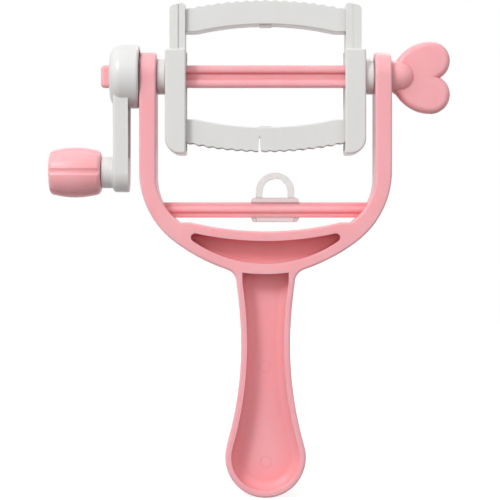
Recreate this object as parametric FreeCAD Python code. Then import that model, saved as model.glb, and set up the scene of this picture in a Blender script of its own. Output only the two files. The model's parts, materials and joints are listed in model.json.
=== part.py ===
import FreeCAD, Part
import math
import os
from FreeCAD import Vector

# Hand-cranked pom pom maker: a forked handle carries a winding frame that a crank turns.
# X runs along the winding shaft from crank to heart, Y to the back, Z up; all in mm.
# Pieces are drawn round the shaft axis and lifted at the end, so that Z = 0 is the grip.

# Fits between pieces
running_gap = 0.08     # radial, a journal in its bore
key_gap = 0.12         # each side, the keyed shaft in its holes
slide_gap = 0.15       # each side, pieces that slide on each other
face_gap = 0.3         # between faces that turn past each other
seat_gap = 0.05        # between faces that stay together
overlap = 1.0          # how far a tool reaches past the face it cuts

# Yoke and handle, one moulding
shaft_height = 123.0   # shaft axis above the middle of the grip
arm_wall = 6.55
yoke_depth = 19.2
soft_edge = 0.9        # rounding along the outer edges
shoulder_rise = 20.35  # where the straight arm ends, above the shelves
shoulder_inset, shoulder_fall = 13.95, 7.65   # from the outside of the arm, below the shelves
belly_x, belly_wall = 8.0, 4.2
corner_rise = 18.15    # where the inner corner starts, above the shelves
shelf_drop = 5.1       # shelves beside the cross rim, below the guide bar
shelf_start, shelf_end = 9.7, 13.9     # from the inside of the arm
shelf_round = 2.0
rim_dip = 3.55         # how far the cross rim sags between the shelves
rim_wall = 3.8
crescent_height = 9.1
crescent_radius = 50.4
crescent_tip = 1.7     # rounding of the crescent's ends
neck_half, neck_drop = 11.5, 3.3
neck_blend = 5.5
waist_half, waist_drop = 9.7, 24.5
bulb_radius, bulb_drop = 15.95, 44.4
handle_wall = 2.35
web_thickness = 3.0
handle_floor_round = 3.6
crescent_floor_round = 1.5
bridge_wall = 3.4      # between the crescent and the pocket of the handle
pocket_top_sag = 0.55

# Guide bar across the yoke, and the thread guide that slides on it
bar_drop = 22.05       # below the low end of the posts
flange_height, flange_thickness = 6.1, 1.6
flange_soft = 0.4
rib_diameter = 3.3
guide_x = 3.85
guide_width = 19.0
guide_lip = 1.65
guide_back = 1.4
guide_hook = 0.4
guide_corner = 1.5
guide_tab = 15.0
eye_outer, eye_inner = 7.7, 5.0
eye_rise = 2.4         # middle of the eye above the top of the guide
eye_thickness = 1.8
eye_soft = 0.4

# Keyed shaft with the heart knob
rod_height, rod_depth = 9.0, 4.4   # overall section: two round rods and a web
rod_single = 3.4       # height of one rod of the pair
rod_web = 1.5
rod_round = 1.5
shaft_nub = 3.7        # how far the end stands out of the crank hub
rod_end_round = 1.3
heart_lobe = 7.7
heart_reach, heart_rise = 15.75, 6.75  # middle of a lobe from the base and from the heart's middle
heart_drop = 0.45      # the heart's middle below the shaft axis
heart_neck, heart_base_low = 1.0, 4.1
flank_x, flank_z = 2.4, 7.4
heart_thickness = 6.8
heart_soft = 3.0
dome_length, dome_radius = 3.3, 6.35   # straight part and radius of its round nose

# Journals in the arms
spigot_radius = 6.1
bush_radius = 7.1
bush_length = 3.25     # between the post and the arm
bush_soft = 0.3
bead_height, bead_width, bead_root = 0.35, 1.0, 0.5

# Crank and its knob
hub_radius = 12.7
hub_length = 11.75
hub_wall = 2.0
hub_crown = 4.8
hub_inner_round = 1.2
crank_throw = 38.3
crank_arm_thickness = 6.0
crank_arm_inset = 1.55 # arm face behind the crown of the hub
crank_end_radius = 7.9
crank_arm_root = 9.2   # half width where the arm leaves the hub
crank_soft = 1.1
crank_core_wall = 1.8
boss_radius, boss_length, boss_foot = 6.25, 4.8, 1.2
spindle_radius = 3.2
knob_length = 20.6
knob_radius, knob_end_radius = 10.0, 9.0
knob_corner = 2.2
groove_count, groove_width, groove_depth = 6, 2.9, 0.5
knob_recess_radius, knob_recess = 5.2, 4.4
screw_radius, screw_length, screw_spare = 1.3, 9.0, 0.5
screw_head_radius, screw_head, screw_crown = 2.9, 2.0, 0.9
slot_width, slot_length, slot_depth = 0.8, 3.5, 1.2
washer_radius, washer_thickness, washer_gap = 4.5, 0.8, 0.2

# Winding frame: two posts, two bows
post_inner = 31.55     # from the middle of the frame
post_width = 8.25      # of the sleeve part
post_depth = 17.6
post_wall = 1.65
post_soft = 0.8
post_top, post_low = 10.4, -31.2
post_corner = 6.2
post_brow, post_toe = 0.8, 1.1   # rounding of its top outer and low inner corners
fin_step = 1.75        # the thin upper part stands back from the sleeve
fin_top = 28.7
fin_slope = 0.27
fin_corner = 2.0
fin_depth = 15.0
plate_space = 3.15     # room for the bow's end plate
post_rib, rib_count = 1.4, 3
key_boss_wall = 1.5
bow_depth = 10.0
bow_rim = 1.8
bow_web = 2.0
bow_outer_mid, bow_outer_end = 30.0, 26.6
bow_inner_mid, bow_inner_end = 20.45, 17.35
bow_flat = 4.0         # level part of the inner edge beside each post
bow_blend, bow_soft = 10.0, 0.5
tooth_pitch, tooth_depth = 3.84, 0.45
nub_width, nub_height, nub_inset = 4.7, 0.5, 1.0
slit_x, slit_mouth, slit_tip, slit_height = -2.3, 1.2, 0.5, 5.8
plate_depth = 14.0
plate_inset = 0.35     # end plates behind the inner face of the post
plate_crest, plate_bevel = 1.7, 0.5
plate_split = -4.9     # where the two end plates meet, below the shaft

# Worked out from the sizes above
post_outer = post_inner + post_width
fin_outer = post_outer - fin_step
layer_x = post_inner + plate_space
bush_in = post_outer + seat_gap
bush_out = bush_in + bush_length
arm_in = bush_out + face_gap
arm_out = arm_in + arm_wall
shoulder_x = arm_out - shoulder_inset
shelf_outer, shelf_inner = arm_in - shelf_start, arm_in - shelf_end
bar_z = post_low - bar_drop
shelf_z = bar_z - shelf_drop
crescent_low = shelf_z - rim_dip - rim_wall - crescent_height
belly_z = crescent_low - belly_wall
neck_z = belly_z - neck_drop
waist_z = neck_z - waist_drop
bulb_z = waist_z - bulb_drop
pocket_top = crescent_low - bridge_wall
half_depth = yoke_depth / 2
bore_radius = spigot_radius + running_gap
hub_in = arm_out + face_gap
hub_out = hub_in + hub_length
crank_out = hub_out - crank_arm_inset
crank_in = crank_out - crank_arm_thickness
boss_end = crank_out + boss_length
knob_in = boss_end + face_gap
knob_out = knob_in + knob_length
spindle_end = knob_out - knob_recess + face_gap   # just proud, so the washer leaves the knob free
hole_half = rod_height / 2 + key_gap
plate_in, plate_out = post_inner + plate_inset, layer_x - seat_gap
post_floor = post_low + post_wall
origin = Vector(0, 0, 0)
x_axis, y_axis, z_axis = Vector(1, 0, 0), Vector(0, 1, 0), Vector(0, 0, 1)


def flat(x, z):
    return Vector(x, 0, z)


def bend(x, z, radius, begin, finish):
    """Arc about (x, z) from one angle in degrees to another."""
    angles = [math.radians(angle) for angle in (begin, (begin + finish) / 2, finish)]
    return tuple(flat(x + radius * math.cos(a), z + radius * math.sin(a)) for a in angles)


def tangent_arc(start, heading, end):
    """Arc that leaves start along heading and reaches end, with its heading there."""
    chord = end - start
    along = Vector(chord).normalize()
    bisector = (along + heading).normalize()
    middle = start + bisector * (chord.Length / 2 / bisector.dot(along))
    return (start, middle, end), along * (2 * heading.dot(along)) - heading


def outline(*steps):
    """Face inside a closed path of points and arcs, joined by straight lines."""
    path = [step if isinstance(step, tuple) else (step,) for step in steps]
    edges = []
    for here, after in zip(path, path[1:] + path[:1]):
        if len(here) == 3:
            edges.append(Part.Arc(*here).toShape())
        if (after[0] - here[-1]).Length > 1e-6:
            edges.append(Part.LineSegment(here[-1], after[0]).toShape())
    return Part.Face(Part.Wire(edges))


def other_side(steps):
    """The same path mirrored across the middle and walked backwards."""
    path = [step if isinstance(step, tuple) else (step,) for step in reversed(steps)]
    turned = [tuple(flat(-spot.x, spot.z) for spot in reversed(step)) for step in path]
    return [step if len(step) == 3 else step[0] for step in turned]


def mirrored(shape):
    return shape.mirror(origin, x_axis)


def slab(face, depth, middle=0.0):
    """Extrudes a face drawn in the X-Z plane, centred on y = middle."""
    moved = face.translated(Vector(0, middle - depth / 2, 0))
    return moved.extrude(Vector(0, depth, 0))


def box(x0, x1, y0, y1, z0, z1):
    return Part.makeBox(x1 - x0, y1 - y0, z1 - z0, Vector(x0, y0, z0))


def rod_x(radius, x0, x1, z=0.0):
    return Part.makeCylinder(radius, x1 - x0, flat(x0, z), x_axis)


def turned(face):
    return face.revolve(origin, x_axis, 360)


def bar_x(face, x0, x1):
    """Extrudes a face of the Y-Z plane along the shaft."""
    return face.translated(flat(x0, 0)).extrude(flat(x1 - x0, 0))


def edges_across_x(shape):
    return [edge for edge in shape.Edges if edge.BoundBox.XLength < 1e-6]


def edges_across_y(shape):
    return [edge for edge in shape.Edges if edge.BoundBox.YLength < 1e-6]


def corners_near(shape, x, z, reach=0.6):
    """Straight edges parallel to Y near the point (x, z), or near its mirror image."""
    found = []
    for edge in edges_across_x(shape):
        size = edge.BoundBox
        near_x = abs(abs(size.Center.x) - abs(x)) < reach
        near_z = abs(size.Center.z - z) < reach
        if near_x and near_z and size.ZLength < 1e-6:
            found.append(edge)
    return found


def rounded_section(height, depth, grow=0.0):
    """Section across the keyed shaft, grown all round."""
    turn = rod_round + grow
    x, z = depth / 2 + grow - turn, height / 2 + grow - turn
    face = outline(bend(x, z, turn, 0, 90), bend(-x, z, turn, 90, 180),
                   bend(-x, -z, turn, 180, 270), bend(x, -z, turn, 270, 360))
    return face.rotated(origin, z_axis, 90)


def key_hole(x0, x1):
    return bar_x(rounded_section(rod_height, rod_depth, key_gap), x0, x1)


def rim_circle():
    """Height of the middle, and radius, of the sagging cross rim."""
    radius = (shelf_inner ** 2 + rim_dip ** 2) / (2 * rim_dip)
    return shelf_z - rim_dip + radius, radius


def yoke_plate():
    down = Vector(0, 0, -1)
    outer_arc, heading = tangent_arc(flat(-arm_out, shelf_z + shoulder_rise), down,
                                     flat(-shoulder_x, shelf_z - shoulder_fall))
    belly_arc, heading = tangent_arc(outer_arc[2], heading, flat(-belly_x, belly_z))
    corner_arc, heading = tangent_arc(flat(-arm_in, shelf_z + corner_rise), down, flat(-shelf_outer, shelf_z))
    half = [belly_arc[::-1], outer_arc[::-1], flat(-arm_out, half_depth), flat(-arm_in, half_depth),
            corner_arc]
    across = (flat(-shelf_inner, shelf_z), flat(0, shelf_z - rim_dip), flat(shelf_inner, shelf_z))
    return slab(outline(*half, across, *other_side(half)), yoke_depth)


def handle_face(inset, top, sag):
    """Handle outline drawn in by inset, closed at the height top."""
    waist, bulb = waist_half - inset, bulb_radius - inset
    drop = waist_z - bulb_z
    side = (waist ** 2 + drop ** 2 - bulb ** 2) / (2 * (bulb - waist))
    to_side = (flat(-(waist + side), waist_z) - flat(0, bulb_z)).normalize()
    meet = flat(0, bulb_z) + to_side * bulb
    neck, narrow = flat(inset - neck_half, neck_z), flat(-waist, waist_z)
    upper, heading = tangent_arc(narrow, Vector(0, 0, 1), neck)
    lower, heading = tangent_arc(narrow, Vector(0, 0, -1), meet)
    half = [lower[::-1], upper]
    cap = (flat(neck.x, top), flat(0, top - sag), flat(-neck.x, top))
    bottom = (flat(-meet.x, meet.z), flat(0, bulb_z - bulb), meet)
    return outline(*half, cap, *other_side(half), bottom)


def crescent_face():
    """Space between the cross rim and the crescent's lower edge."""
    centre, radius = rim_circle()
    radius += rim_wall
    low_centre = crescent_low + crescent_radius
    tip_z = (radius ** 2 - crescent_radius ** 2 - centre ** 2 + low_centre ** 2) / (2 * (low_centre - centre))
    tip_x = math.sqrt(radius ** 2 - (tip_z - centre) ** 2)
    left, right = flat(-tip_x, tip_z), flat(tip_x, tip_z)
    return outline((left, flat(0, centre - radius), right), (right, flat(0, crescent_low), left))


def floor_edges(tool, floor):
    return [edge for edge in edges_across_y(tool) if abs(edge.BoundBox.YMin - floor) < 1e-6]


def pocket_tools():
    """Front pockets of the handle and the crescent; the back ones are their mirror images."""
    floor = -web_thickness / 2
    deep = half_depth + overlap + floor
    middle = floor - deep / 2
    handle = slab(handle_face(handle_wall, pocket_top, pocket_top_sag), deep, middle)
    round_edges = [edge for edge in floor_edges(handle, floor)
                   if edge.BoundBox.Center.z < pocket_top - pocket_top_sag]
    handle = handle.makeFillet(handle_floor_round, round_edges)
    crescent = slab(crescent_face(), deep, middle)
    ends = [edge for edge in edges_across_x(crescent) if edge.BoundBox.YLength > deep / 2]
    crescent = crescent.makeFillet(crescent_tip, ends)
    crescent = crescent.makeFillet(crescent_floor_round, floor_edges(crescent, floor))
    return [handle, crescent]


def guide_bar():
    """Cross-shaped bar: a flat flange with a round rib along its middle."""
    half, tall, deep = arm_in + flange_soft, flange_height / 2, flange_thickness / 2
    flange = box(-half, half, -deep, deep, bar_z - tall, bar_z + tall)
    flange = flange.makeFillet(flange_soft, [e for e in flange.Edges if e.BoundBox.XLength > half])
    return flange.fuse(rod_x(rib_diameter / 2, -half, half, bar_z))


def bead_ring(radius, height):
    """Ring of trapezoid section round the shaft axis, in the middle of the right arm."""
    x = arm_in + arm_wall / 2
    half = bead_width / 2
    foot = half + height
    return turned(outline(flat(x - foot, radius - bead_root), flat(x - foot, radius),
                          flat(x - half, radius + height), flat(x + half, radius + height),
                          flat(x + foot, radius), flat(x + foot, radius - bead_root)))


def on_outline(edge):
    """True on the long edges at the front, the back and round the arm ends."""
    size = edge.BoundBox
    front_or_back = size.YLength < 1e-6 and abs(abs(size.Center.y) - half_depth) < 1e-4
    arm_end = size.XLength < 1e-6 and size.YLength > overlap and size.ZMax > overlap
    return front_or_back or arm_end


def yoke_handle():
    neck_top = belly_z + handle_wall
    body = yoke_plate().fuse(slab(handle_face(0, neck_top, 0.01), yoke_depth)).removeSplitter()
    wide = arm_out + overlap
    round_top = rod_x(half_depth, -wide, wide)
    below = box(-wide, wide, -half_depth, half_depth, bulb_z - bulb_radius - overlap, 0)
    body = body.common(round_top.fuse(below).removeSplitter()).removeSplitter()
    body = body.makeFillet(neck_blend, corners_near(body, neck_half, belly_z, handle_wall))
    corners = corners_near(body, shelf_outer, shelf_z) + corners_near(body, shelf_inner, shelf_z)
    body = body.makeFillet(shelf_round, corners)
    body = body.makeFillet(soft_edge, [edge for edge in body.Edges if on_outline(edge)])
    for tool in pocket_tools():
        body = body.cut(tool).cut(tool.mirror(origin, y_axis))
    groove = bead_ring(bore_radius, bead_height + running_gap)
    return body.fuse(guide_bar()).cut(rod_x(bore_radius, -wide, wide)).cut(groove).removeSplitter()


def shaft_rod():
    """Two round rods joined by a thin web, full section at both ends."""
    start = -(hub_out + shaft_nub)
    body = bar_x(rounded_section(rod_height, rod_depth), start, hub_in)
    tip = [edge for edge in edges_across_x(body) if edge.BoundBox.XMax < start + 1e-6]
    body = body.makeFillet(rod_end_round, tip)
    single = bar_x(rounded_section(rod_single, rod_depth), -post_outer, post_outer)
    rise = (rod_height - rod_single) / 2
    web = box(-post_outer, post_outer, -rod_web / 2, rod_web / 2, -rise, rise)
    waste = box(-post_outer, post_outer, -rod_depth, rod_depth, -rise, rise)
    return body.cut(waste.cut([single.translated(flat(0, rise)), single.translated(flat(0, -rise)), web]))


def heart_half():
    """One lobe of the heart, whose flank runs into the neck by a soft hollow."""
    x, z = hub_in + heart_reach, heart_rise
    crown, foot = flat(x, z + heart_lobe), flat(hub_in + flank_x, flank_z)
    hollow, heading = tangent_arc(flat(hub_in + heart_neck, dome_radius), x_axis, foot)
    flank, heading = tangent_arc(crown, -x_axis, foot)
    half = slab(outline(hollow, flank[::-1], bend(x, z, heart_lobe, 90, -90),
                        flat(hub_in + heart_neck, -heart_base_low)), heart_thickness)
    return half.makeFillet(heart_soft, edges_across_y(half))


def heart_shaft():
    dome = turned(outline(flat(hub_in, 0), flat(hub_in, dome_radius),
                          bend(hub_in + dome_length, 0, dome_radius, 90, 0)))
    half = heart_half()
    heart = half.fuse(half.mirror(origin, z_axis)).translated(flat(0, -heart_drop))
    return shaft_rod().fuse([dome, heart]).removeSplitter()


def left_bush():
    ring = rod_x(bush_radius, bush_in, bush_out).cut(rod_x(spigot_radius, bush_in, bush_out))
    rims = [edge for edge in edges_across_x(ring) if edge.BoundBox.ZLength > 2 * spigot_radius + bush_soft]
    return mirrored(ring.makeChamfer(bush_soft, rims))


def right_bush():
    flange = rod_x(bush_radius, bush_in, bush_out)
    flange = flange.makeChamfer(bush_soft, edges_across_x(flange))
    sleeve = rod_x(spigot_radius, bush_in, arm_out + seat_gap)
    body = flange.fuse([sleeve, bead_ring(spigot_radius, bead_height)])
    return body.cut(key_hole(bush_in - overlap, arm_out + overlap))


def crank_hub():
    """Hub with a domed outer face, open towards the yoke, and the space inside it."""
    corner, crown = hub_inner_round, hub_crown
    hub = turned(outline(flat(hub_in, 0),
                         bend(hub_in + corner, hub_radius - corner, corner, 180, 90),
                         bend(hub_out - crown, hub_radius - crown, crown, 90, 0), flat(hub_out, 0)))
    start, inside, ceiling = hub_in - overlap, hub_radius - hub_wall, hub_out - hub_wall
    turn = crown - hub_wall
    hollow = turned(outline(flat(start, spigot_radius), flat(start, inside),
                            bend(ceiling - turn, inside - turn, turn, 90, 0),
                            flat(ceiling, spigot_radius)))
    half = crank_core_wall / 2
    for angle in (45, 135, 225, 315):
        rib = box(start - overlap, hub_out, -half, half, 0, hub_radius)
        hollow = hollow.cut(rib.rotated(origin, x_axis, angle))
    return hub.cut(hollow)


def arm_face(inset):
    """Crank arm seen along the shaft, drawn in by inset."""
    root, end = crank_arm_root - inset, crank_end_radius - inset
    lean = math.degrees(math.asin((root - end) / crank_throw))
    left, top, right = bend(0, 0, root, 180 + lean, -lean)
    face = outline(left, right, bend(0, -crank_throw, end, -lean, lean - 180))
    return face.rotated(origin, z_axis, 90)


def crank_arm():
    arm = bar_x(arm_face(0), crank_in, crank_out)
    outer = [edge for edge in edges_across_x(arm) if edge.BoundBox.XMin > crank_out - 1e-6]
    return arm.makeFillet(crank_soft, outer)


def arm_core():
    """Space in the back of the arm, on both sides of its middle rib."""
    start = crank_in - overlap
    core = bar_x(arm_face(crank_core_wall), start, crank_out - crank_core_wall)
    core = core.cut(rod_x(boss_radius, start, crank_out, -crank_throw))
    half = crank_core_wall / 2
    core = core.cut(box(start, crank_out, -half, half, -crank_throw, 0))
    return core.cut(rod_x(hub_radius, start, crank_out))


def knob_boss():
    """Boss with a soft foot, and the spindle that the knob turns on."""
    start = crank_out - overlap
    boss = turned(outline(flat(start, 0), flat(start, boss_radius + boss_foot),
                          bend(crank_out + boss_foot, boss_radius + boss_foot, boss_foot, 180, 270),
                          flat(boss_end, boss_radius), flat(boss_end, 0)))
    spindle = rod_x(spindle_radius, start, spindle_end)
    pilot = rod_x(screw_radius, spindle_end - screw_length - screw_spare, spindle_end + overlap)
    return boss.fuse(spindle).cut(pilot).translated(flat(0, -crank_throw))


def crank():
    body = crank_hub().fuse(crank_arm()).cut(arm_core())
    pilot = rod_x(screw_radius, spindle_end - screw_length - screw_spare, spindle_end, -crank_throw)
    spigot = rod_x(spigot_radius, bush_in, hub_out - overlap)
    body = body.cut(pilot).fuse([knob_boss(), spigot])
    return mirrored(body.cut(key_hole(bush_in - overlap, hub_out + overlap)).removeSplitter())


def crank_knob():
    """Barrel with shallow grooves that run out at its rounded ends."""
    corner, side, middle = knob_corner, knob_end_radius, (knob_in + knob_out) / 2
    swell = (flat(knob_in + corner, side), flat(middle, knob_radius), flat(knob_out - corner, side))
    knob = turned(outline(flat(knob_in, 0), bend(knob_in + corner, side - corner, corner, 180, 90),
                          swell, bend(knob_out - corner, side - corner, corner, 90, 0),
                          flat(knob_out, 0)))
    half, rise = knob_length / 2 - corner, knob_radius - side
    swell_radius = (half ** 2 + rise ** 2) / (2 * rise)
    groove_radius = (groove_width ** 2 / 4 + groove_depth ** 2) / (2 * groove_depth)
    cutter = Part.makeTorus(swell_radius + groove_radius - groove_depth, groove_radius,
                            flat(middle, knob_radius - swell_radius), y_axis)
    for count in range(groove_count):
        knob = knob.cut(cutter.rotated(origin, x_axis, 90 + 360 / groove_count * count))
    knob = knob.cut(rod_x(spindle_radius + running_gap, boss_end, knob_out + overlap))
    knob = knob.cut(rod_x(knob_recess_radius, knob_out - knob_recess, knob_out + overlap))
    return mirrored(knob.translated(flat(0, -crank_throw)))


def knob_washer():
    start = spindle_end + seat_gap
    end = start + washer_thickness
    hole = rod_x(screw_radius + washer_gap, start, end, -crank_throw)
    return mirrored(rod_x(washer_radius, start, end, -crank_throw).cut(hole))


def knob_screw():
    """Round-headed screw with a crossed slot."""
    seat = spindle_end + washer_thickness + 2 * seat_gap
    top = seat + screw_head
    head = rod_x(screw_head_radius, seat, top)
    crown = [edge for edge in edges_across_x(head) if edge.BoundBox.XMin > top - 1e-6]
    body = head.makeFillet(screw_crown, crown)
    body = body.fuse(rod_x(screw_radius - seat_gap, seat - screw_length, seat + seat_gap))
    for angle in (0, 90):
        slot = box(top - slot_depth, top + overlap, -slot_width / 2, slot_width / 2,
                   -slot_length / 2, slot_length / 2)
        body = body.cut(slot.rotated(origin, x_axis, angle))
    return mirrored(body.removeSplitter().translated(flat(0, -crank_throw)))


def fin_height(x):
    """Height of the sloping top of a post at distance x from the middle."""
    return fin_top - (x - post_inner - plate_crest) * fin_slope


def post_fin():
    """Thin upper part of the post, behind the upper bow's end plate."""
    x, foot = fin_outer - fin_corner, post_top - overlap
    return slab(outline(flat(layer_x, foot), flat(layer_x, fin_height(layer_x)),
                        bend(x, fin_height(x) - fin_corner, fin_corner, 90, 0), flat(fin_outer, foot)),
                fin_depth)


def post_core():
    """Slot for the end plates and the cored bays behind it, open to the inside."""
    wide = plate_depth / 2 + slide_gap
    back, turn = post_outer - post_wall, post_corner - post_wall
    slot = box(post_inner - overlap, layer_x, -wide, wide, post_floor, fin_top + overlap)
    bays = slab(outline(bend(back - turn, post_floor + turn, turn, 270, 360),
                        flat(back, post_top - post_rib), flat(back - turn, post_top - post_rib)), 2 * wide)
    top = -hole_half - key_boss_wall
    step = (top - post_floor) / rib_count
    for count in range(rib_count):
        z = top - count * step
        bays = bays.cut(box(layer_x, back, -wide, wide, z - post_rib, z))
    return slot.fuse(bays)


def right_post():
    x, z = post_outer - post_corner, post_low + post_corner
    body = slab(outline(flat(post_inner, post_top),
                        bend(post_outer - post_brow, post_top - post_brow, post_brow, 90, 0),
                        bend(x, z, post_corner, 360, 270),
                        bend(post_inner + post_toe, post_low + post_toe, post_toe, 270, 180)), post_depth)
    body = body.makeFillet(post_soft, edges_across_y(body))
    boss_section = rounded_section(rod_height, rod_depth, key_gap + key_boss_wall)
    boss = bar_x(boss_section, layer_x, post_outer - post_wall / 2)
    body = body.fuse(post_fin()).cut(post_core()).fuse(boss)
    return body.cut(key_hole(post_inner, post_outer + overlap)).removeSplitter()


def left_post():
    return mirrored(right_post())


def bow_inner_arc(gap):
    """Arched part of a bow's inner edge, or a line that far above it."""
    x = post_inner - bow_flat
    return (flat(-x, bow_inner_end + gap), flat(0, bow_inner_mid + gap), flat(x, bow_inner_end + gap))


def channel_face():
    """Space between the two rims of a bow, open at its outer edge."""
    low, high = bow_inner_end + bow_web, bow_outer_end + overlap
    return outline(flat(-plate_in, low), bow_inner_arc(bow_web), flat(plate_in, low),
                   (flat(plate_in, high), flat(0, bow_outer_mid + overlap), flat(-plate_in, high)))


def toothed_face():
    """Bow seen from the front, with a wave of round teeth along its outer edge."""
    rise = bow_outer_mid - bow_outer_end
    radius = (post_inner ** 2 + rise ** 2) / (2 * rise)
    centre = bow_outer_mid - radius

    def spot(steps, out):
        angle = steps * tooth_pitch / radius
        return flat(out * math.sin(angle), centre + out * math.cos(angle))

    last = 2 * math.floor(post_inner / tooth_pitch) + 1
    level = radius - tooth_depth / 2
    wave = [(spot(n / 2 + 0.25, level), spot(n / 2, radius - n % 2 * tooth_depth), spot(n / 2 - 0.25, level))
            for n in range(last, -last - 1, -1)]
    end_x = wave[0][0].x
    return outline(flat(-end_x, bow_inner_end), bow_inner_arc(0), flat(end_x, bow_inner_end), *wave)


def bow_body():
    """The bow with its scissor channel, teeth and middle nub, without its end plates."""
    body = slab(toothed_face(), bow_depth)
    body = body.makeFillet(bow_blend, corners_near(body, post_inner - bow_flat, bow_inner_end))
    under = [edge for edge in edges_across_y(body) if edge.BoundBox.ZMax < bow_inner_mid + 1e-3]
    body = body.makeFillet(bow_soft, [edge for edge in under if edge.BoundBox.XLength > tooth_depth])
    deep = bow_depth / 2 - nub_inset
    nub = box(-nub_width / 2, nub_width / 2, -deep, deep, bow_inner_mid - nub_height,
              bow_inner_mid + bow_web / 2)
    return body.fuse(nub).cut(slab(channel_face(), bow_depth - 2 * bow_rim))


def with_plates(body, plate):
    return body.fuse([plate, mirrored(plate)]).removeSplitter()


def upper_bow():
    """Its end plates straddle the shaft, so the whole bow lifts off."""
    low = plate_split + face_gap
    plate = slab(outline(flat(plate_in, low), flat(plate_in, fin_top - plate_bevel),
                         flat(post_inner + plate_crest, fin_top), flat(plate_out, fin_height(plate_out)),
                         flat(plate_out, low)), plate_depth)
    wide, tall = rod_depth / 2 + face_gap, rod_height / 2 + face_gap
    fork = box(plate_in - overlap, plate_out + overlap, -wide, wide, low - overlap, tall)
    return with_plates(bow_body(), plate.cut(fork))


def lower_bow():
    low, deep = -bow_outer_mid - overlap, plate_depth / 2
    top = slit_height - bow_outer_mid
    slit = slab(outline(flat(slit_x - slit_mouth / 2, low), flat(slit_x + slit_mouth / 2, low),
                        flat(slit_x + slit_tip / 2, top), flat(slit_x - slit_tip / 2, top)), plate_depth)
    body = bow_body().mirror(origin, z_axis).cut(slit)
    return with_plates(body, box(plate_in, plate_out, -deep, deep, post_floor + seat_gap, plate_split))


def eye_face(half, low, middle):
    return outline(bend(guide_x, middle, half, 0, 180), flat(guide_x - half, low),
                   flat(guide_x + half, low))


def guide_clip():
    """Clip round the bar, with hooks in front and a wider tab below."""
    left, right = guide_x - guide_width / 2 - overlap, guide_x + guide_width / 2 + overlap
    half = flange_height / 2 + slide_gap
    front, back = -(flange_thickness / 2 + slide_gap), rib_diameter / 2 + slide_gap
    top, low = bar_z + half + guide_lip, bar_z - half - guide_lip
    body = box(left + overlap, right - overlap, front - guide_hook, back + guide_back, low, top)
    uprights = [edge for edge in edges_across_x(body) if edge.BoundBox.YLength > guide_hook]
    body = body.makeFillet(guide_corner, uprights)
    body = body.cut(box(left, right, front, back, bar_z - half, bar_z + half))
    mouth = half - guide_hook
    body = body.cut(box(left, right, front - overlap, front, bar_z - mouth, bar_z + mouth))
    for x0, x1 in ((left, guide_x - guide_tab / 2), (guide_x + guide_tab / 2, right)):
        body = body.cut(box(x0, x1, front - overlap, front + guide_hook, low - overlap, bar_z - half))
    return body, top


def yarn_guide():
    body, top = guide_clip()
    middle = top + eye_rise
    loop = slab(eye_face(eye_outer, top - overlap, middle), eye_thickness)
    loop = loop.cut(slab(eye_face(eye_inner, top, middle), eye_thickness + overlap))
    rims = [edge for edge in edges_across_y(loop) if edge.BoundBox.ZMax > middle]
    return body.fuse(loop.makeFillet(eye_soft, rims)).removeSplitter()


makers = [yoke_handle, left_bush, right_bush, crank, crank_knob, knob_washer, knob_screw,
          heart_shaft, right_post, left_post, lower_bow, upper_bow, yarn_guide]

os.makedirs("parts", exist_ok=True)
for maker in makers:
    shape = maker().translated(flat(0, shaft_height))
    name = maker.__name__
    print(name, "valid", shape.isValid(), "solids", len(shape.Solids), "volume", round(shape.Volume, 1))
    shape.exportStep("parts/%s.step" % name)
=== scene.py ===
import bmesh
import bpy
import json
import math
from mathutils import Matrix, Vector


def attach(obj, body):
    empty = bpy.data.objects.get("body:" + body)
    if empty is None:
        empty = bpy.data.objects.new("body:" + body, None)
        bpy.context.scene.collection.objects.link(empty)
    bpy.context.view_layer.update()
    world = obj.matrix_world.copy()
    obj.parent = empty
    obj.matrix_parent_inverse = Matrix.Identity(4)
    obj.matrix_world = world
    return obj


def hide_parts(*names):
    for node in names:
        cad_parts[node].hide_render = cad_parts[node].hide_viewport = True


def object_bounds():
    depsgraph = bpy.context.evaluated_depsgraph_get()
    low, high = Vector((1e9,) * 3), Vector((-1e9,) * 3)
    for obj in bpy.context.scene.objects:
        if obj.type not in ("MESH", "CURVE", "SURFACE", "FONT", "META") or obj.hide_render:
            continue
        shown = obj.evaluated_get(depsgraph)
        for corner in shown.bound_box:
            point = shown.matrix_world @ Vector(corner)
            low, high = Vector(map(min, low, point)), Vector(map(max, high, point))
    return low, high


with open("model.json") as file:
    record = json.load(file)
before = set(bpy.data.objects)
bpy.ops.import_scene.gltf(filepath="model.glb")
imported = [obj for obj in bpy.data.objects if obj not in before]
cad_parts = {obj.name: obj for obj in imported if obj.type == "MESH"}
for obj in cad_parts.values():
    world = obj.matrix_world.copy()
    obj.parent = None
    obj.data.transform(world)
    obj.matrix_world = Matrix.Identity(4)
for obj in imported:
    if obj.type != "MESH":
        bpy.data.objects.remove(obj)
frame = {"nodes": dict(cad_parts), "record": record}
cadLow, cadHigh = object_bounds()
print("frame loaded:", len(frame["nodes"]), "nodes")


def srgb(red, green, blue):  # screen colour, 0 to 255, to the linear one that shaders take
    levels = [value / 255 for value in (red, green, blue)]
    linear = [v / 12.92 if v <= 0.04045 else ((v + 0.055) / 1.055) ** 2.4 for v in levels]
    return (*linear, 1)


# Shader maths

class Wire:  # a socket that takes part in Python sums
    def __init__(self, graph, socket):
        self.graph = graph
        self.socket = socket

    def sum(self, operation, *values):
        return self.graph.add("ShaderNodeMath", {"operation": operation}, dict(enumerate(values)))

    def __add__(self, other):
        return self.sum("ADD", self, other)

    def __sub__(self, other):
        return self.sum("SUBTRACT", self, other)

    def __rsub__(self, other):
        return self.sum("SUBTRACT", other, self)

    def __mul__(self, other):
        return self.sum("MULTIPLY", self, other)

    def __abs__(self):
        return self.sum("ABSOLUTE", self)

    def clamp(self):
        return self.graph.add("ShaderNodeClamp", {}, {0: self})

    __radd__ = __add__


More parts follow.
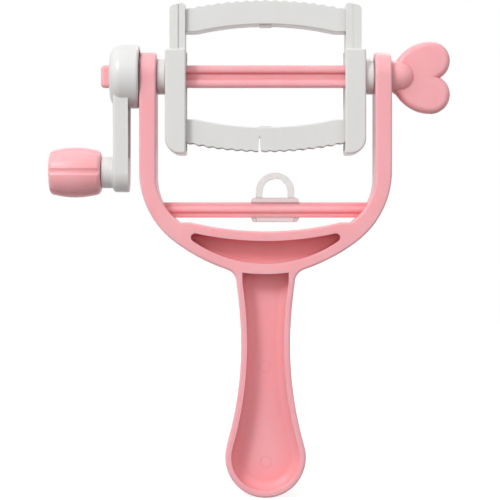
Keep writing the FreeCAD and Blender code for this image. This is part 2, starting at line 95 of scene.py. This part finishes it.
shading = {
    "edgeSamples": 6, "edgeStart": 0.02, "edgeFull": 0.3,  # how far the normals part at an edge
    "hollowSamples": 8,
}


class Graph:  # node tree of a material or the world
    def __init__(self, owner):
        owner.use_nodes = True
        self.nodes = owner.node_tree.nodes
        self.links = owner.node_tree.links
        self.nodes.clear()

    def add(self, kind, settings, values, output=0):  # a new node, as the Wire of one output
        node = self.nodes.new(kind)
        for key, value in settings.items():
            setattr(node, key, value)
        for key, value in values.items():
            if isinstance(value, Wire):
                self.links.new(value.socket, node.inputs[key])
            else:
                node.inputs[key].default_value = value
        return Wire(self, node.outputs[output]) if node.outputs else None

    def noise(self, place, pattern):
        values = {"Vector": place, "Scale": 1 / pattern["size"],
                  "Detail": pattern["detail"], "Roughness": pattern["rough"]}
        return self.add("ShaderNodeTexNoise", {}, values)

    def ramp(self, value, low, high):  # 0 at low, 1 at high, level beyond them
        values = {"Value": value, "From Min": low, "From Max": high}
        return self.add("ShaderNodeMapRange", {"clamp": True}, values)

    def spread(self, value, pattern):  # a noise drawn out between the pattern's two levels
        return self.ramp(value, pattern["low"], pattern["high"])

    def blend(self, factor, first, second):  # mix of two colours
        values = {0: factor, 6: first, 7: second}
        return self.add("ShaderNodeMix", {"data_type": "RGBA"}, values, 2)

    def bump(self, height, depth):
        return self.add("ShaderNodeBump", {}, {"Height": height, "Distance": depth})

    def edges(self, radius):  # 1 along convex and concave edges, 0 on plain faces
        settings = {"samples": shading["edgeSamples"]}
        soft = self.add("ShaderNodeBevel", settings, {"Radius": radius})
        plain = self.add("ShaderNodeNewGeometry", {}, {}, "Normal")
        settings = {"operation": "DOT_PRODUCT"}
        likeness = self.add("ShaderNodeVectorMath", settings, {0: soft, 1: plain}, "Value")
        return self.ramp(1 - likeness, shading["edgeStart"], shading["edgeFull"])

    def paintedHollowShade(self, depth):  # painted shade mask from occlusion: 0 on open faces, 1 deep inside the piece's own pockets
        settings = {"samples": shading["hollowSamples"], "only_local": True}
        return 1 - self.add("ShaderNodeAmbientOcclusion", settings, {"Distance": depth}, "AO")

    def finish(self, shader):
        self.add("ShaderNodeOutputMaterial", {}, {"Surface": shader})


def weighted(start, marks, weights):  # start plus each mark times its weight
    return sum((marks[key] * weight for key, weight in weights.items()), start)


def startMaterial(name):  # a new material, its graph and the Object coordinates
    material = bpy.data.materials.new(name)
    graph = Graph(material)
    return material, graph, graph.add("ShaderNodeTexCoord", {}, {}, "Object")


# Materials: sizes in metres, colours as the screen shows them

pinkLook = {
    "base": srgb(248, 182, 187), "cloud": srgb(246, 176, 182),
    "streak": srgb(242, 166, 172), "streakMix": 0.3,
    # painted highlight: a lighter pink along the edges
    "paintedEdgeTone": srgb(253, 202, 206), "edgeMix": 0.4, "edgeRadius": 0.0006,
    "speck": srgb(214, 120, 130), "speckMix": 0.25,
    # painted shade: a deeper pink laid into the piece's own hollows, also the pin marks' tint
    "deep": srgb(222, 112, 116), "deepMix": 0.7, "hollowDepth": 0.012,
    "flow": (1, 1, 0.22),  # streaks and scratches run along Z
    "clouds": {"size": 0.03, "detail": 3, "rough": 0.5, "low": 0.35, "high": 0.65},
    "streaks": {"size": 0.004, "detail": 4, "rough": 0.6, "low": 0.5, "high": 0.75},
    "grain": {"size": 0.0004, "detail": 2, "rough": 0.5},
    "specks": {"size": 0.0007, "detail": 1, "rough": 0.5, "low": 0.72, "high": 0.8},
    "scratches": {"size": 0.0009, "detail": 1, "rough": 0.5, "low": 0.66, "high": 0.74},
    "rough": 0.24, "roughBy": {"grain": 0.06, "streaks": 0.08, "edge": 0.08, "scratches": 0.07},
    "bumpDepth": 0.00004, "heightBy": {"grain": 0.5, "streaks": 0.35, "scratches": -0.12},
    "inside": 0.6, "insideColor": (1.0, 0.3, 0.3), "insideDepth": 0.004,
    "shine": 0.3, "bend": 1.49,
}
yokeLook = dict(pinkLook, **{  # with the two pin marks in the handle's pocket
    "pins": [(0, 0, 0.0069), (0.0003, 0, -0.0309)], "pinRadius": 0.0022, "pinLine": 0.0003,
    "pinEnd": 0.0025, "pinFloor": 0.002,  # how far from the middle plane the marks reach
    "pinMix": 0.22, "pinStep": 2.5,
})
# painted shade: dark red in the shaft's narrow hollows, such as the web between its rods
shaftLook = dict(pinkLook, deep=srgb(220, 84, 90), deepMix=0.95, hollowDepth=0.005)
whiteLook = dict(pinkLook, **{
    "base": srgb(222, 222, 220), "cloud": srgb(219, 219, 217), "streak": srgb(212, 212, 209),
    # painted highlight: a lighter white along the edges
    "paintedEdgeTone": srgb(231, 231, 229), "edgeMix": 0.35,
    "speck": srgb(196, 194, 190), "speckMix": 0.2,
    # painted shade: warm grey in creases and hollows
    "deep": srgb(176, 168, 166), "deepMix": 0.6, "hollowDepth": 0.004,
    "rough": 0.26, "inside": 0.15, "insideColor": (1.0, 0.95, 0.9), "insideDepth": 0.002,
    "shine": 0.5,
})


def pinRings(graph, place, look):  # 1 on the round marks of the mould's pins, 0 elsewhere
    rings = 0
    for middle in look["pins"]:
        settings = {"operation": "MULTIPLY"}
        flat = graph.add("ShaderNodeVectorMath", settings, {0: place, 1: (1, 0, 1)})
        settings = {"operation": "DISTANCE"}
        reach = graph.add("ShaderNodeVectorMath", settings, {0: flat, 1: middle}, "Value")
        rings = rings + graph.ramp(abs(reach - look["pinRadius"]), look["pinLine"], 0)
    depth = graph.add("ShaderNodeSeparateXYZ", {}, {0: place}, "Y")
    return rings * graph.ramp(abs(depth), look["pinEnd"], look["pinFloor"])


def plasticMaterial(name, look):  # moulded plastic: cloudy colour, fine grain, painted highlight along edges, painted shade in hollows
    material, graph, place = startMaterial(name)
    stretch = graph.add("ShaderNodeMapping", {}, {"Vector": place, "Scale": look["flow"]})
    clouds = graph.spread(graph.noise(place, look["clouds"]), look["clouds"])
    specks = graph.spread(graph.noise(place, look["specks"]), look["specks"])
    hollow = graph.paintedHollowShade(look["hollowDepth"])
    marks = {
        "grain": graph.noise(place, look["grain"]),
        "streaks": graph.noise(stretch, look["streaks"]),
        "edge": graph.edges(look["edgeRadius"]),
        "scratches": graph.spread(graph.noise(stretch, look["scratches"]), look["scratches"]),
    }
    streaks = graph.spread(marks["streaks"], look["streaks"])
    color = graph.blend(clouds, look["base"], look["cloud"])
    # painted shade: the deeper colour laid into the hollows that occlusion finds
    color = graph.blend(hollow * look["deepMix"], color, look["deep"])
    color = graph.blend(streaks * look["streakMix"], color, look["streak"])
    # painted edge tone: lighter along edges as a highlight, on pink and white
    color = graph.blend(marks["edge"] * look["edgeMix"], color, look["paintedEdgeTone"])
    color = graph.blend(specks * look["speckMix"], color, look["speck"])
    height = weighted(0, marks, look["heightBy"])
    if "pins" in look:
        pins = pinRings(graph, place, look)
        # the mould's pin marks, tinted with the same colour as the painted shade
        color = graph.blend(pins * look["pinMix"], color, look["deep"])
        height = height - pins * look["pinStep"]
    values = {
        "Base Color": color, "Roughness": weighted(look["rough"], marks, look["roughBy"]),
        "Normal": graph.bump(height, look["bumpDepth"]),
        "IOR": look["bend"], "Specular IOR Level": look["shine"],
        "Subsurface Weight": look["inside"], "Subsurface Radius": look["insideColor"],
        "Subsurface Scale": look["insideDepth"],
    }
    graph.finish(graph.add("ShaderNodeBsdfPrincipled", {}, values))
    return material


frostLook = {
    # the edge tone here is a painted dark outline along the edges, standing in for their
    # refraction
    "base": srgb(240, 236, 235), "paintedEdgeTone": srgb(150, 142, 142), "edgeMix": 1.0, "edgeRadius": 0.0006,
    "paintedBarReflection": srgb(250, 214, 213), "barHeight": 0.06975,  # painted pink reflection of the cross bar
    "barReflectionNear": 0.002, "barReflectionFar": 0.0055,
    "grain": {"size": 0.0003, "detail": 2, "rough": 0.5},
    "clouds": {"size": 0.004, "detail": 3, "rough": 0.5},
    "rough": 0.3, "roughBy": {"grain": 0.1, "clouds": 0.1},
    "bumpDepth": 0.00003, "clear": 0.6, "bend": 1.46,
}


def frostedMaterial(name, look):  # milky, half clear plastic, with a painted pink reflection near the bar and painted dark outlines
    material, graph, place = startMaterial(name)
    marks = {key: graph.noise(place, look[key]) for key in ("grain", "clouds")}
    height = graph.add("ShaderNodeSeparateXYZ", {}, {0: place}, "Z")
    # painted reflection: pink at the cross bar's height, fading away from it
    away = graph.ramp(abs(height - look["barHeight"]), look["barReflectionNear"], look["barReflectionFar"])
    color = graph.blend(away, look["paintedBarReflection"], look["base"])
    # painted dark outline along the edges
    edge = graph.edges(look["edgeRadius"])
    color = graph.blend(edge * look["edgeMix"], color, look["paintedEdgeTone"])
    values = {
        "Base Color": color, "Roughness": weighted(look["rough"], marks, look["roughBy"]),
        "Normal": graph.bump(marks["grain"], look["bumpDepth"]),
        "Transmission Weight": look["clear"], "IOR": look["bend"],
    }
    graph.finish(graph.add("ShaderNodeBsdfPrincipled", {}, values))
    return material


steelLook = {
    "base": srgb(196, 196, 198), "dull": srgb(150, 148, 146),
    "clouds": {"size": 0.002, "detail": 3, "rough": 0.5},
    "grain": {"size": 0.0002, "detail": 1, "rough": 0.5},
    "rough": 0.24, "roughBy": {"clouds": 0.15, "grain": 0.1}, "bumpDepth": 0.00001, "metal": 1.0,
}


def steelMaterial(name, look):  # plated steel with dull clouds and a fine grain
    material, graph, place = startMaterial(name)
    marks = {key: graph.noise(place, look[key]) for key in ("clouds", "grain")}
    values = {
        "Base Color": graph.blend(marks["clouds"], look["base"], look["dull"]),
        "Metallic": look["metal"], "Roughness": weighted(look["rough"], marks, look["roughBy"]),
        "Normal": graph.bump(marks["grain"], look["bumpDepth"]),
    }
    graph.finish(graph.add("ShaderNodeBsdfPrincipled", {}, values))
    return material


materials = {
    "pink_plastic": plasticMaterial("pinkPlastic", pinkLook),
    "yoke_plastic": plasticMaterial("yokePlastic", yokeLook),
    "shaft_plastic": plasticMaterial("shaftPlastic", shaftLook),
    "white_plastic": plasticMaterial("whitePlastic", whiteLook),
    "frosted_plastic": frostedMaterial("frostedPlastic", frostLook),
    "steel": steelMaterial("platedSteel", steelLook),
}
print("materials made:", ", ".join(materials))


def looseObject(name, shape):  # a bmesh as an object of the scene
    mesh = bpy.data.meshes.new(name)
    shape.to_mesh(mesh)
    shape.free()
    thing = bpy.data.objects.new(name, mesh)
    bpy.context.scene.collection.objects.link(thing)
    return thing


# The heart knob, modelled again so that one flat face runs across both lobes

heartLook = {
    "start": 0.05025, "axis": 0.123, "drop": 0.00045,  # the plate's left end, height and sag
    "lobeReach": 0.01575, "lobeRise": 0.00675, "lobeRadius": 0.0077, "lobeSteps": 34,
    "footReach": 0.0024, "footRise": 0.0074, "flankSteps": 16,
    "neckReach": 0.001, "neckSteps": 6,
    "thickness": 0.0068, "soft": 0.0025, "softSteps": 7,
    "domeLength": 0.0033, "domeRadius": 0.00637, "domeSteps": 24, "roundSteps": 72,
    "proud": 0.00002, "cut": 0.0005,  # where the dome starts and where the old knob is cut off
}
skinValues = {"merge": 1e-6, "flatAngle": 0.3, "sharpAngle": 32, "segments": 3}


def arc(shape, corner, centre, angle, steps):  # edges round a centre, anticlockwise from the front
    made = bmesh.ops.spin(shape, geom=[corner], cent=centre, axis=(0, -1, 0),
                          angle=angle, steps=steps)
    return [item for item in made["geom_last"] if isinstance(item, bmesh.types.BMVert)][0]


def straight(shape, corner, end):  # one edge on from a corner
    made = bmesh.ops.extrude_vert_indiv(shape, verts=[corner])
    made["verts"][0].co = end
    return made["verts"][0]


def heartPlate(look):  # both lobes in one, with a flat face and soft edges
    shape = bmesh.new()
    start, lobe, rise = look["start"], look["lobeRadius"], look["lobeRise"]
    middle = start + look["lobeReach"]
    half = math.sqrt(lobe ** 2 - rise ** 2)
    corner = shape.verts.new((middle + half, 0, 0))  # the notch between the lobes
    turn = math.pi / 2 + math.atan2(rise, half)
    corner = arc(shape, corner, (middle, 0, rise), turn, look["lobeSteps"])
    wide, tall = look["lobeReach"] - look["footReach"], rise + lobe - look["footRise"]
    flank = (wide ** 2 + tall ** 2) / (2 * tall)
    turn = math.asin(wide / flank)
    corner = arc(shape, corner, (middle, 0, rise + lobe - flank), turn, look["flankSteps"])
    wide, tall = look["footReach"] - look["neckReach"], look["footRise"] - look["domeRadius"]
    hollow = (wide ** 2 + tall ** 2) / (2 * tall)
    neck = start + look["neckReach"]
    turn = -math.asin(wide / hollow)
    corner = arc(shape, corner, (neck, 0, look["domeRadius"] + hollow), turn, look["neckSteps"])
    straight(shape, corner, (neck, 0, 0))
    bmesh.ops.mirror(shape, geom=shape.verts[:] + shape.edges[:], axis="Z",
                     merge_dist=skinValues["merge"])
    face = bmesh.ops.contextual_create(shape, geom=shape.edges[:])["faces"][0]
    made = bmesh.ops.extrude_face_region(shape, geom=[face])["geom"]
    back = [item for item in made if isinstance(item, bmesh.types.BMVert)]
    bmesh.ops.translate(shape, verts=back, vec=(0, look["thickness"], 0))
    centred = (0, -look["thickness"] / 2, look["axis"] - look["drop"])
    bmesh.ops.translate(shape, verts=shape.verts, vec=centred)
    bmesh.ops.recalc_face_normals(shape, faces=shape.faces)
    rims = []
    for edge in shape.edges:  # the outlines of the two flat faces
        first, second = edge.verts
        if abs(first.co.y - second.co.y) < skinValues["merge"]:
            rims.append(edge)
    bmesh.ops.bevel(shape, geom=rims, offset=look["soft"], segments=look["softSteps"],
                    profile=0.5, affect="EDGES", material=-1, clamp_overlap=False)
    return shape


def heartDome(look):  # bullet-shaped root of the knob
    shape = bmesh.new()
    back, radius = look["start"] - look["proud"], look["domeRadius"]
    shoulder = look["start"] + look["domeLength"]
    corner = shape.verts.new((back, 0, 0))
    corner = straight(shape, corner, (back, 0, radius))
    corner = straight(shape, corner, (shoulder, 0, radius))
    arc(shape, corner, (shoulder, 0, 0), -math.pi / 2, look["domeSteps"])
    bmesh.ops.spin(shape, geom=shape.verts[:] + shape.edges[:], cent=(0, 0, 0), axis=(1, 0, 0),
                   angle=2 * math.pi, steps=look["roundSteps"], use_merge=True)
    bmesh.ops.remove_doubles(shape, verts=shape.verts, dist=skinValues["merge"])
    bmesh.ops.translate(shape, verts=shape.verts, vec=(0, 0, look["axis"]))
    bmesh.ops.recalc_face_normals(shape, faces=shape.faces)
    return shape


def heartKnob(shape):  # cuts the solid's knob off and joins the new one to the shaft
    look = heartLook
    cut = (look["start"] + look["cut"], 0, 0)
    bmesh.ops.bisect_plane(shape, geom=shape.verts[:] + shape.edges[:] + shape.faces[:],
                           plane_co=cut, plane_no=(1, 0, 0), clear_outer=True)
    bmesh.ops.holes_fill(shape, edges=[edge for edge in shape.edges if edge.is_boundary])
    things = [looseObject("shaftPart", shape.copy())]
    things += [looseObject("knobPart", part) for part in (heartPlate(look), heartDome(look))]
    for other in things[1:]:
        union = things[0].modifiers.new("union", "BOOLEAN")
        union.operation = "UNION"
        union.solver = "EXACT"
        union.object = other
    joined = things[0].evaluated_get(bpy.context.evaluated_depsgraph_get())
    whole = bpy.data.meshes.new_from_object(joined)
    shape.clear()
    shape.from_mesh(whole)
    for thing in things:
        mesh = thing.data
        bpy.data.objects.remove(thing)
        bpy.data.meshes.remove(mesh)
    bpy.data.meshes.remove(whole)


# Pieces: a copy of each solid's mesh with the small roundings that the solids leave out

skins = {
    "yoke_handle": {"name": "yokeHandle", "slot": "pink_plastic", "finish": "yoke_plastic",
                    "bevel": 0.00022},
    "left_bush": {"name": "leftCollar", "slot": "white_plastic", "bevel": 0.0001},
    "right_bush": {"name": "rightJournal", "slot": "white_plastic", "bevel": 0.0001},
    "crank": {"name": "crankArm", "slot": "white_plastic", "bevel": 0.0005},
    "crank_knob": {"name": "crankKnob", "slot": "pink_plastic", "bevel": 0.0003},
    "knob_washer": {"name": "knobWasher", "slot": "steel", "bevel": 0.00008},
    "knob_screw": {"name": "knobScrew", "slot": "steel", "bevel": 0.00008},
    "heart_shaft": {"name": "heartShaft", "slot": "pink_plastic", "finish": "shaft_plastic",
                    "bevel": 0.0003},
    "right_post": {"name": "rightPost", "slot": "white_plastic", "bevel": 0.0005},
    "left_post": {"name": "leftPost", "slot": "white_plastic", "bevel": 0.0005},
    "lower_bow": {"name": "lowerBow", "slot": "white_plastic", "bevel": 0.0003},
    "upper_bow": {"name": "upperBow", "slot": "white_plastic", "bevel": 0.0003},
    "yarn_guide": {"name": "yarnGuide", "slot": "frosted_plastic", "bevel": 0.00015},
}
reworks = {"heart_shaft": heartKnob}
bodies = frame["record"]["behaviour"]["bodies"]
bodyOf = {node: body for body, nodes in bodies.items() for node in nodes}


def skin(node, look):
    mesh = frame["nodes"][node].data.copy()
    mesh.name = look["name"]
    shape = bmesh.new()
    shape.from_mesh(mesh)
    bmesh.ops.remove_doubles(shape, verts=shape.verts, dist=skinValues["merge"])
    bmesh.ops.dissolve_limit(shape, angle_limit=math.radians(skinValues["flatAngle"]),
                             verts=shape.verts, edges=shape.edges)
    if node in reworks:
        reworks[node](shape)
    for face in shape.faces:
        face.smooth = True
    shape.to_mesh(mesh)
    shape.free()
    mesh.set_sharp_from_angle(angle=math.radians(skinValues["sharpAngle"]))
    piece = bpy.data.objects.new(look["name"], mesh)
    bpy.context.scene.collection.objects.link(piece)
    piece.data.materials.clear()
    piece.data.materials.append(materials[look.get("finish", look["slot"])])
    bevel = piece.modifiers.new("softEdges", "BEVEL")
    bevel.width = look["bevel"]
    bevel.segments = skinValues["segments"]
    bevel.limit_method = "ANGLE"
    bevel.angle_limit = math.radians(skinValues["sharpAngle"])
    bevel.use_clamp_overlap = True
    normals = piece.modifiers.new("evenNormals", "WEIGHTED_NORMAL")
    normals.keep_sharp = True
    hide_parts(node)
    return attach(piece, bodyOf[node])


for node, look in skins.items():
    skin(node, look)
print("pieces made:", len(skins))


# Stage, light and camera

stage = {
    "floorSize": 3.0, "floorColor": srgb(150, 148, 148), "white": (1, 1, 1, 1),
    "floorGlow": 0.85, "glowNear": 0.3, "glowFar": 0.8,  # whiter from near to far
    "skyBright": (1, 1, 1, 1), "skyDark": (0.16, 0.16, 0.16, 1), "skyPower": 1.2,
    "skyAim": (-0.25, -0.8, 0.55), "skyFrom": -0.1, "skyTo": 1.0,  # bright in front and above
    "lampAim": (0, 0, 0.06),
}
lamps = {
    "topKey": {"place": (-0.65, -0.9, 0.85), "size": 0.35, "power": 8.0},
    "backTop": {"place": (0.3, 0.95, 1.05), "size": 0.45, "power": 3.0},
}
camera = {
    "place": (-0.00536, -0.7, 0.05372), "tilt": 90, "fieldWidth": 0.2, "sensor": 36.0,
    "frame": 500, "axisPixel": 252, "clipStart": 0.05, "clipEnd": 20,
}


def backdropRays(graph):  # 1 for the rays that see the white backdrop
    kinds = "Is Camera Ray", "Is Glossy Ray", "Is Transmission Ray"
    return sum(graph.add("ShaderNodeLightPath", {}, {}, kind) for kind in kinds).clamp()


def makeFloor(look):  # keeps the shadow, white to the backdrop's rays, clear from below
    shape = bmesh.new()
    bmesh.ops.create_grid(shape, x_segments=1, y_segments=1, size=look["floorSize"] / 2)
    bmesh.ops.translate(shape, verts=shape.verts, vec=(0, 0, cadLow[2]))
    floor = looseObject("floor", shape)
    material, graph, place = startMaterial("paleFloor")
    matt = graph.add("ShaderNodeBsdfDiffuse", {}, {"Color": look["floorColor"]})
    reach = graph.add("ShaderNodeVectorMath", {"operation": "LENGTH"}, {0: place}, "Value")
    far = graph.ramp(reach, look["glowNear"], look["glowFar"])
    strength = backdropRays(graph) * (look["floorGlow"] + far * (1 - look["floorGlow"]))
    values = {"Color": look["white"], "Strength": strength}
    glow = graph.add("ShaderNodeEmission", {}, values)
    top = graph.add("ShaderNodeAddShader", {}, {0: matt, 1: glow})
    below = graph.add("ShaderNodeNewGeometry", {}, {}, "Backfacing")
    clear = graph.add("ShaderNodeBsdfTransparent", {}, {})
    graph.finish(graph.add("ShaderNodeMixShader", {}, {0: below, 1: top, 2: clear}))
    floor.data.materials.append(material)


def makeWorld(look):  # white to the backdrop's rays, a soft sky to the others
    world = bpy.data.worlds.new("studio")
    bpy.context.scene.world = world
    graph = Graph(world)
    way = graph.add("ShaderNodeTexCoord", {}, {}, "Generated")
    values = {0: way, 1: Vector(look["skyAim"]).normalized()}
    facing = graph.add("ShaderNodeVectorMath", {"operation": "DOT_PRODUCT"}, values, "Value")
    bright = graph.ramp(facing, look["skyFrom"], look["skyTo"])
    sky = graph.blend(bright, look["skyDark"], look["skyBright"])
    light = graph.add("ShaderNodeBackground", {}, {"Color": sky, "Strength": look["skyPower"]})
    white = graph.add("ShaderNodeBackground", {}, {"Color": look["white"]})
    mixed = graph.add("ShaderNodeMixShader", {}, {0: backdropRays(graph), 1: light, 2: white})
    graph.add("ShaderNodeOutputWorld", {}, {"Surface": mixed})


def makeLamp(name, look):
    data = bpy.data.lights.new(name, "AREA")
    data.shape = "DISK"
    data.size = look["size"]
    data.energy = look["power"]
    lamp = bpy.data.objects.new(name, data)
    lamp.location = look["place"]
    aim = Vector(stage["lampAim"]) - lamp.location
    lamp.rotation_euler = aim.to_track_quat("-Z", "Y").to_euler()
    bpy.context.scene.collection.objects.link(lamp)


def makeCamera(look):  # level, its line of sight falls on the pixel column axisPixel
    data = bpy.data.cameras.new("camera")
    data.sensor_width = look["sensor"]
    data.lens = look["sensor"] * -look["place"][1] / look["fieldWidth"]
    data.shift_x = (look["frame"] / 2 - look["axisPixel"]) / look["frame"]
    data.clip_start = look["clipStart"]
    data.clip_end = look["clipEnd"]
    eye = bpy.data.objects.new("camera", data)
    eye.location = look["place"]
    eye.rotation_euler = (math.radians(look["tilt"]), 0, 0)
    bpy.context.scene.collection.objects.link(eye)
    bpy.context.scene.camera = eye


makeFloor(stage)
makeWorld(stage)
for name, look in lamps.items():
    makeLamp(name, look)
makeCamera(camera)
bpy.context.scene.view_settings.view_transform = "Standard"
print("stage set")
